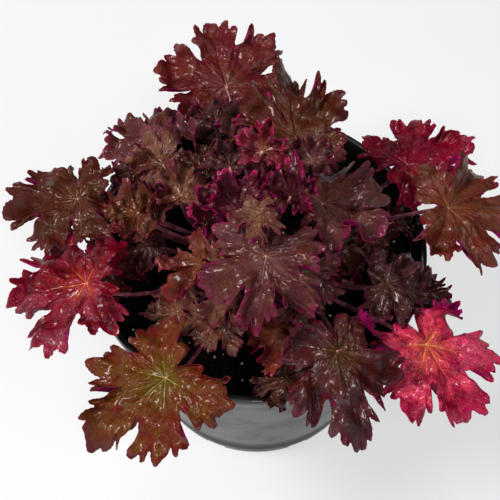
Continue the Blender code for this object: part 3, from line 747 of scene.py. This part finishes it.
def mixed(tree, share, a, b):
    made = tree.nodes.new("ShaderNodeMix")
    made.data_type = "RGBA"
    put(tree, made.inputs[0], share)
    put(tree, made.inputs[6], a)
    put(tree, made.inputs[7], b)
    return made.outputs[2]


def laid(tree, colour, over, share, most):
    """The colour with another laid over it, by this much of the share."""
    return mixed(tree, calc(tree, "MULTIPLY", share, most), colour, over)


def ramped(tree, value, low, high, to_low=0.0, to_high=1.0):
    """value taken smoothly from between low and high to between to_low and to_high."""
    made = tree.nodes.new("ShaderNodeMapRange")
    made.interpolation_type = "SMOOTHSTEP"
    for socket, given in zip(made.inputs[:5], (value, low, high, to_low, to_high)):
        put(tree, socket, given)
    return made.outputs[0]


def noisy(tree, place, size_mm, detail=2.0, rough=0.5):
    """Noise with features of about this size."""
    made = tree.nodes.new("ShaderNodeTexNoise")
    scale = 1.0 / (size_mm * MM)
    give(tree, made, {"Vector": place, "Scale": scale, "Detail": detail, "Roughness": rough})
    return made.outputs[0]


def cells(tree, place, size_mm):
    """How far each place is from the edge of its cell."""
    made = tree.nodes.new("ShaderNodeTexVoronoi")
    made.feature = "DISTANCE_TO_EDGE"
    give(tree, made, {"Vector": place, "Scale": 1.0 / (size_mm * MM)})
    return made.outputs["Distance"]


def bumped(tree, shader, height, distance_mm, strength):
    made = tree.nodes.new("ShaderNodeBump")
    give(tree, made, {"Strength": strength, "Distance": distance_mm * MM, "Height": height})
    give(tree, shader, {"Normal": made.outputs[0]})


def scaled_colour(tree, colour, factor):
    """The colour, lighter or darker by this factor."""
    made = tree.nodes.new("ShaderNodeVectorMath")
    made.operation = "SCALE"
    put(tree, made.inputs[0], colour)
    put(tree, made.inputs["Scale"], factor)
    return made.outputs[0]


def from_mesh(tree, name, output):
    """What the mesh holds under this name for each point."""
    made = tree.nodes.new("ShaderNodeAttribute")
    made.attribute_name = name
    return made.outputs[output]


def lie_of(tree):
    """A point's way along its vein, its way off it, and its share of the way to the edge or up the stalk."""
    split = tree.nodes.new("ShaderNodeSeparateXYZ")
    put(tree, split.inputs[0], from_mesh(tree, "lie", "Vector"))
    return split.outputs


def blade_finish(name, row, under=False):
    """Leaf skin: two-colour patches, a coloured edge, veins, a silvery veil partly of painted sheen between
    them, and gloss.
    """
    look = LeafLook(*(tuple(part / 1000 for part in colour) for colour in row[:-1]), row[-1])
    made, tree, shader, place = shader_of(name, look.blade, look.rough)
    along, aside, share = lie_of(tree)

    width = ramped(tree, share, 0.0, 1.0, 0.016, 0.004)
    main = ramped(tree, calc(tree, "DIVIDE", aside, width), 0.35, 1.15, 1.0, 0.0)
    rung = calc(tree, "MULTIPLY", calc(tree, "MULTIPLY_ADD", aside, -VEIN_SLANT, along), SIDE_VEINS)
    side = ramped(tree, calc(tree, "PINGPONG", rung, 0.5), 0.02, 0.09, 1.0, 0.0)
    side = calc(tree, "MULTIPLY", side, ramped(tree, share, 0.55, 1.0, 0.8, 0.1))
    veins = calc(tree, "MAXIMUM", main, side)
    net = ramped(tree, cells(tree, place, 1.7), 0.0, 0.14, 1.0, 0.0)

    patchy = ramped(tree, noisy(tree, place, 9.0, 4.0, 0.65), 0.43, 0.58)
    colour = mixed(tree, patchy, look.blade, look.patch)
    heart = ramped(tree, share, 0.05, 0.55, 1.0, 0.0)
    colour = laid(tree, colour, look.heart, heart, 0.8)
    ragged = calc(tree, "MULTIPLY_ADD", noisy(tree, place, 5.0), 0.30, share)
    colour = mixed(tree, ramped(tree, ragged, 0.98, 1.16), colour, look.edge)
    # Patches of veil between the veins: partly the leaf's own silvery veil, partly painted sheen.
    veil_sheen_patches = ramped(tree, noisy(tree, place, 14.0, 2.0), 0.46, 0.66)
    veil = calc(tree, "MULTIPLY", calc(tree, "SUBTRACT", 1.0, veins), veil_sheen_patches)
    colour = laid(tree, colour, look.veil, veil, 0.30)
    colour = laid(tree, colour, look.vein, main, ramped(tree, share, 0.03, 0.40, 0.75, 0.04))
    colour = laid(tree, colour, look.vein, side, 0.16)
    colour = laid(tree, colour, look.patch, net, 0.22)
    grain = ramped(tree, noisy(tree, place, 0.8, 2.0, 0.7), 0.25, 0.75, 0.70, 1.30)
    tone = calc(tree, "MULTIPLY", grain, from_mesh(tree, "shade", "Fac"))
    colour = scaled_colour(tree, colour, tone)

    rough = ramped(tree, noisy(tree, place, 6.0, 3.0), 0.3, 0.7, look.rough - 0.18, look.rough + 0.06)
    level, coat = (0.08, 0.0) if under else (0.12, 0.22)
    give(tree, shader, {"Base Color": colour, "Roughness": rough, "Specular IOR Level": level})
    give(tree, shader, {"Coat Weight": coat, "Coat Roughness": 0.13})
    deep = 1.0 if under else -1.0
    height = calc(tree, "MULTIPLY", veins, 0.9 * deep)
    height = calc(tree, "MULTIPLY_ADD", net, 0.35 * deep, height)
    height = calc(tree, "MULTIPLY_ADD", noisy(tree, place, 1.3, 3.0, 0.6), 2.0, height)
    bumped(tree, shader, height, 0.26, 1.0)
    return made


def stalk_finish():
    """Stalk skin: streaked pink, and paler near the blade."""
    made, tree, shader, place = shader_of("stalk_skin", (0.12, 0.022, 0.040), 0.42)
    streak = ramped(tree, noisy(tree, place, 3.0, 3.0), 0.35, 0.65)
    colour = mixed(tree, streak, (0.085, 0.012, 0.028), (0.20, 0.060, 0.075))
    pale = ramped(tree, lie_of(tree)[2], 0.80, 1.0, 0.0, 0.7)
    give(tree, shader, {"Base Color": mixed(tree, pale, colour, (0.42, 0.22, 0.16))})
    bumped(tree, shader, noisy(tree, place, 0.5, 2.0), 0.10, 0.7)
    return made


def plastic_finish():
    """Black polypropylene: soft scuffs, uneven gloss and a little dust."""
    made, tree, shader, place = shader_of("pot_skin", (0.014, 0.014, 0.015), 0.34)
    scuff = ramped(tree, noisy(tree, place, 20.0, 5.0, 0.65), 0.35, 0.75)
    colour = mixed(tree, scuff, (0.012, 0.012, 0.013), (0.026, 0.025, 0.025))
    speck = ramped(tree, noisy(tree, place, 1.1, 3.0, 0.7), 0.68, 0.76)
    colour = laid(tree, colour, (0.08, 0.065, 0.055), speck, 0.35)
    give(tree, shader, {"Base Color": colour, "Roughness": ramped(tree, scuff, 0.0, 1.0, 0.30, 0.42)})
    height = calc(tree, "MULTIPLY_ADD", noisy(tree, place, 30.0, 2.0), 3.0, noisy(tree, place, 0.7, 2.0))
    bumped(tree, shader, height, 0.10, 0.35)
    return made


# Peat mix: its own dark colour, made near-black as painted shade for the shade inside the pot under the
# leaves.
def soil_finish():
    made, tree, shader, place = shader_of("peat_mix", (0.010, 0.007, 0.005), 0.95)
    lumps = ramped(tree, noisy(tree, place, 2.4, 4.0, 0.65), 0.32, 0.68)
    colour = mixed(tree, lumps, (0.0016, 0.0011, 0.0009), (0.007, 0.0042, 0.003))
    fibre = ramped(tree, noisy(tree, place, 0.8, 3.0, 0.7), 0.62, 0.72)
    colour = laid(tree, colour, (0.026, 0.015, 0.010), fibre, 0.6)
    give(tree, shader, {"Base Color": colour, "Specular IOR Level": 0.12})
    bumped(tree, shader, noisy(tree, place, 1.0, 4.0, 0.7), 0.8, 1.0)
    return made


def perlite_finish():
    made, tree, shader, place = shader_of("perlite_grain", (0.50, 0.47, 0.42), 0.85)
    dirt = ramped(tree, noisy(tree, place, 1.5, 3.0), 0.40, 0.65)
    give(tree, shader, {"Base Color": mixed(tree, dirt, (0.55, 0.52, 0.47), (0.10, 0.07, 0.05))})
    bumped(tree, shader, noisy(tree, place, 0.4, 2.0), 0.2, 0.8)
    return made


def bark_finish():
    made, tree, shader, place = shader_of("crown_skin", (0.07, 0.03, 0.022), 0.8)
    flakes = ramped(tree, cells(tree, place, 2.6), 0.0, 0.25)
    colour = mixed(tree, flakes, (0.015, 0.007, 0.005), (0.085, 0.036, 0.024))
    pink = ramped(tree, noisy(tree, place, 5.0, 2.0), 0.5, 0.7)
    give(tree, shader, {"Base Color": mixed(tree, pink, colour, (0.13, 0.025, 0.035))})
    bumped(tree, shader, flakes, 0.5, 0.9)
    return made


def floor_finish():
    """Pale paint that gives some light of its own."""
    made, tree, shader, place = shader_of("floor_paint", (0.86, 0.87, 0.87), 0.75)
    soft = ramped(tree, noisy(tree, place, 180.0, 2.0), 0.3, 0.7)
    colour = mixed(tree, soft, (0.20, 0.203, 0.205), (0.21, 0.213, 0.215))
    white = (1.0, 1.0, 1.0)
    give(tree, shader, {"Base Color": colour, "Emission Color": white, "Emission Strength": FLOOR_GLOW})
    return made


# Pot, potting mix and crown


def wall_radius(z):
    """The pot's outer radius below its lip."""
    return BASE_RADIUS + (RIM_RADIUS - LIP_PROUD - BASE_RADIUS) * z / POT_HEIGHT


def lathe(profile, steps):
    """Points and faces of a profile turned about Z. A profile point on the axis is one point."""
    points, loops = [], []
    for radius, z in profile:
        first = len(points)
        if radius == 0.0:
            points.append((0.0, 0.0, z))
            loops.append([first] * steps)
            continue
        for k in range(steps):
            turn = 2 * pi * k / steps
            points.append((radius * cos(turn), radius * sin(turn), z))
        loops.append(list(range(first, first + steps)))
    faces = []
    for above, below in zip(loops, loops[1:]):
        for k in range(steps):
            j = (k + 1) % steps
            around = (above[k], below[k], below[j], above[j])
            faces.append(tuple(dict.fromkeys(around)))
    return points, faces


def pot_profile():
    """Down the outside from the middle of the pot's floor inside, over the lip, to the middle underneath."""
    under_lip = POT_HEIGHT - LIP_HEIGHT
    inner = [(0.0, WALL)]
    inner += [(r, WALL) for r in (14.0, 28.0, 42.0)]
    inner += [(wall_radius(WALL) - WALL - 2.0, WALL), (wall_radius(3.4) - WALL, 3.4)]
    inner += [(wall_radius(z) - WALL, z) for z in (12.0, 30.0, 50.0, 70.0, 90.0, 104.0, 113.0, under_lip)]
    rim = wall_radius(POT_HEIGHT) - WALL
    lip = [(rim, POT_HEIGHT - 0.8), (rim + 0.25, POT_HEIGHT - 0.25), (rim + 0.8, POT_HEIGHT)]
    lip += [(RIM_RADIUS - 0.7, POT_HEIGHT), (RIM_RADIUS - 0.2, POT_HEIGHT - 0.3)]
    lip += [(RIM_RADIUS, POT_HEIGHT - 0.9), (RIM_RADIUS - 0.15, POT_HEIGHT - 3.4)]
    lip += [(RIM_RADIUS - 0.4, under_lip + 0.4), (RIM_RADIUS - 0.65, under_lip)]
    lip += [(wall_radius(under_lip) + 0.1, under_lip - 0.3)]
    outer = [(wall_radius(z), z) for z in (118.0, 112.0, 109.4)]
    sunk = (108.8, 106.0, 96.0, 84.0, 72.0, 60.0, 48.0, 36.0, 24.0, 12.6)
    outer += [(wall_radius(z) - 0.35, z) for z in sunk]
    outer += [(wall_radius(12.0), 12.0), (wall_radius(5.0), 5.0), (BASE_RADIUS + 0.2, 1.8)]
    outer += [(BASE_RADIUS - 0.4, 0.5), (BASE_RADIUS - 1.5, 0.0), (BASE_RADIUS - 9.0, 0.0)]
    outer += [(BASE_RADIUS - 11.0, 0.5), (30.0, 0.5), (0.0, 0.5)]
    return inner + lip + outer


def build_pot(into, finish):
    points, faces = lathe(pot_profile(), POT_STEPS)
    pot = mesh_piece("nursery_pot", points, faces, into)
    for vertex in pot.data.vertices:
        x, y, z = vertex.co / MM
        turn = atan2(y, x)
        wobble = 0.22 * sin(3 * turn + 0.8) + 0.10 * sin(7 * turn)
        out_of_round = 1.0 + wobble * (z / POT_HEIGHT) / RIM_RADIUS
        vertex.co.x *= out_of_round
        vertex.co.y *= out_of_round
    cutters = []
    for k in range(DRAIN_COUNT):
        turn = 2 * pi * (k + 0.5) / DRAIN_COUNT
        bpy.ops.mesh.primitive_cylinder_add(
            vertices=32,
            radius=DRAIN_RADIUS * MM,
            depth=DRAIN_DEPTH * MM,
            location=(BASE_RADIUS * cos(turn) * MM, BASE_RADIUS * sin(turn) * MM, 0.0),
        )
        cutters.append(bpy.context.object)
        cut = pot.modifiers.new("drain hole", "BOOLEAN")
        cut.operation = "DIFFERENCE"
        cut.object = cutters[-1]
    bpy.context.view_layer.update()
    graph = bpy.context.evaluated_depsgraph_get()
    mesh = bpy.data.meshes.new_from_object(pot.evaluated_get(graph))
    pot.modifiers.clear()
    pot.data = mesh
    for cutter in cutters:
        bpy.data.objects.remove(cutter, do_unlink=True)
    mesh.materials.clear()
    dressed(pot, finish)
    mesh.set_sharp_from_angle(angle=radians(POT_SHARP))
    return kept(pot, "pot_plastic", "pot")


def soil_height(x, y):
    """How far the mix stands above its level: the CAD model's broad mounds, with lumps and crumbs on them."""
    broad = sin(x / 9.0 + 0.7) * cos(y / 11.0)
    broad += 0.6 * sin((x + y) / 5.5) * cos((x - y) / 7.0)
    lumps = noise.fractal(Vector((x / 5.0, y / 5.0, 3.0)), 0.9, 2.1, 5)
    crumbs = noise.noise(Vector((x / 1.3, y / 1.3, 9.0)))
    return 0.9 * broad + 1.1 * lumps + 0.55 * crumbs


def build_soil(into, finish):
    hole = CROWN_RADIUS + GAP
    top_edge = wall_radius(SOIL_LEVEL) - WALL - GAP - 0.5
    floor = WALL + GAP
    profile = [(0.0, CROWN_FOOT - GAP), (hole, CROWN_FOOT - GAP)]
    profile += [(hole + (top_edge - hole) * k / SOIL_RINGS, SOIL_LEVEL) for k in range(SOIL_RINGS + 1)]
    profile += [(wall_radius(floor) - WALL - GAP - 0.5, floor), (0.0, floor)]
    points, faces = lathe(profile, SOIL_STEPS)
    soil = mesh_piece("potting_mix", points, faces, into)
    for vertex in soil.data.vertices:
        x, y, z = vertex.co / MM
        out = hypot(x, y)
        if z > SOIL_LEVEL - 1.0:
            near_wall = min(max((top_edge - out) / 4.0, 0.0), 1.0)
            vertex.co.z += (soil_height(x, y) * (0.25 + 0.75 * near_wall) - 0.4 * (1.0 - near_wall)) * MM
    dressed(soil, finish)
    return kept(soil, "potting_mix", "soil")


def grains(name, count, sizes, seed, flatness, into, finish):
    """Loose lumps lying on the mix: small angular grains, all in one mesh."""
    draw = random.Random(seed)
    shape = bmesh.new()
    bmesh.ops.create_icosphere(shape, subdivisions=1, radius=1.0)
    ball = np.array([v.co for v in shape.verts])
    triangles = [tuple(v.index for v in f.verts) for f in shape.faces]
    shape.free()
    reach = wall_radius(SOIL_LEVEL) - WALL - GAP - 2.5
    points, faces = [], []
    for _ in range(count):
        out = sqrt(draw.uniform((CROWN_RADIUS + 2.0) ** 2, reach**2))
        turn = draw.uniform(0, 2 * pi)
        x, y = out * cos(turn), out * sin(turn)
        size = draw.uniform(*sizes)
        stretch = [draw.uniform(0.6, 1.4), draw.uniform(0.6, 1.2), flatness * draw.uniform(0.7, 1.2)]
        rough = np.array([[draw.uniform(0.75, 1.25)] for _ in ball])
        lump = ball * rough * stretch * size
        turned = Matrix.Rotation(draw.uniform(0, 6.28), 3, "Z")
        tipped = Matrix.Rotation(draw.uniform(-0.6, 0.6), 3, "X")
        lump = lump @ np.array(turned @ tipped).T
        lift = SOIL_LEVEL + soil_height(x, y) + size * flatness * 0.25
        first = len(points) * len(ball)
        points.append(lump + (x, y, lift))
        faces += [tuple(i + first for i in f) for f in triangles]
    piece = mesh_piece(name, np.vstack(points), faces, into)
    piece.data.materials.append(finish)
    return kept(piece, "potting_mix")


def build_crown(into, finish):
    """The woody crown: a dome of overlapping old leaf bases."""
    profile = [(0.0, CROWN_SHOULDER + CROWN_DOME)]
    for k in range(1, CROWN_RINGS + 1):
        lean = 0.5 * pi * k / CROWN_RINGS
        profile.append((CROWN_RADIUS * sin(lean), CROWN_SHOULDER + CROWN_DOME * cos(lean)))
    profile += [(CROWN_RADIUS, CROWN_FOOT + 4.0), (CROWN_RADIUS - 3.0, CROWN_FOOT), (0.0, CROWN_FOOT)]
    points, faces = lathe(profile, CROWN_STEPS)
    crown = mesh_piece("woody_crown", points, faces, into)
    for vertex in crown.data.vertices:
        x, y, z = vertex.co / MM
        if z > CROWN_SHOULDER - 0.5:
            away = Vector((x, y, (z - CROWN_SHOULDER) * 1.2)).normalized()
            rough = noise.noise(Vector((x, y, z)) / 2.2) + 0.6 * noise.noise(Vector((x, y, z)) / 1.0)
            vertex.co += away * (0.55 * rough - 0.35) * MM
    dressed(crown, finish)
    return kept(crown, "crown_bark", "crown")


# Stage, light and camera


def build_stage(into, finish):
    """A wide round floor whose rim curves up into a low wall, so every view has a pale background."""
    profile = [(FLOOR_RADIUS + RIM_CURVE, RIM_CURVE + WALL_RISE)]
    for k in range(FLOOR_CURVE_STEPS + 1):
        turn = 0.5 * pi * k / FLOOR_CURVE_STEPS
        profile.append((FLOOR_RADIUS + RIM_CURVE * cos(turn), RIM_CURVE * (1.0 - sin(turn))))
    points, faces = lathe(profile + [(0.0, 0.0)], POT_STEPS)
    floor = mesh_piece("floor", points, faces, into)
    dressed(floor, finish)


def aimed(name, data, place, aim, into):
    """An object at a place, in metres, that looks at its aim."""
    obj = bpy.data.objects.new(name, data)
    obj.location = place
    obj.rotation_euler = (aim - place).to_track_quat("-Z", "Y").to_euler()
    into.objects.link(obj)
    return obj


def build_light(into):
    for light in LIGHTS:
        lamp = bpy.data.lights.new(light.name, "AREA")
        lamp.shape = "RECTANGLE"
        lamp.size, lamp.size_y = (side * MM for side in light.size)
        lamp.energy = light.power
        lamp.color = light.colour
        aimed(light.name, lamp, Vector(light.place) * MM, Vector(LIGHT_AIM) * MM, into)
    scene = bpy.context.scene
    scene.world = bpy.data.worlds.new("studio")
    scene.world.use_nodes = True
    sky = scene.world.node_tree
    give(sky, sky.nodes["Background"], {"Color": WORLD_COLOUR, "Strength": WORLD_STRENGTH})
    scene.view_settings.view_transform = "Standard"
    scene.view_settings.look = "Medium High Contrast"


def build_camera(into):
    camera = bpy.data.cameras.new("camera")
    camera.lens = CAMERA_LENS
    camera.sensor_width = CAMERA_SENSOR
    camera.clip_start, camera.clip_end = (reach * MM for reach in CAMERA_CLIP)
    elevation = radians(CAMERA_ELEVATION)
    aim = Vector(CAMERA_AIM) * MM
    place = aim + Vector((0.0, -cos(elevation), sin(elevation))) * CAMERA_DISTANCE * MM
    bpy.context.scene.camera = aimed("camera", camera, place, aim, into)


def main():
    studio = collection("studio")
    plant = collection("plant")
    build_camera(studio)
    build_light(studio)
    build_stage(studio, floor_finish())

    build_pot(plant, plastic_finish())
    soil = soil_finish()
    build_soil(plant, soil)
    grains("peat_crumbs", CRUMB_COUNT, (0.5, 1.5), 7, 0.7, plant, soil)
    grains("perlite_grains", PERLITE_COUNT, (0.5, 1.1), 8, 0.8, plant, perlite_finish())
    build_crown(plant, bark_finish())

    surfaces = {leaf.name: surface_of("leaf_" + leaf.name) for leaf in LEAVES}
    leaves = settled_leaves(surfaces)
    paths = settled_stalks(leaves, surfaces)
    under = blade_finish("blade_underside", UNDERSIDE, under=True)
    stalk = stalk_finish()
    uppers = {kind: blade_finish("blade_" + kind, row) for kind, row in LEAF_LOOKS.items()}
    for leaf in leaves:
        look = "beige" if leaf.kind == "olive" and leaf.reach < LARGE_REACH else leaf.kind
        upper = uppers[FINISH_OF.get(leaf.name, look)]
        build_leaf(leaf, paths[leaf.name], plant, (upper, under, stalk))


main()
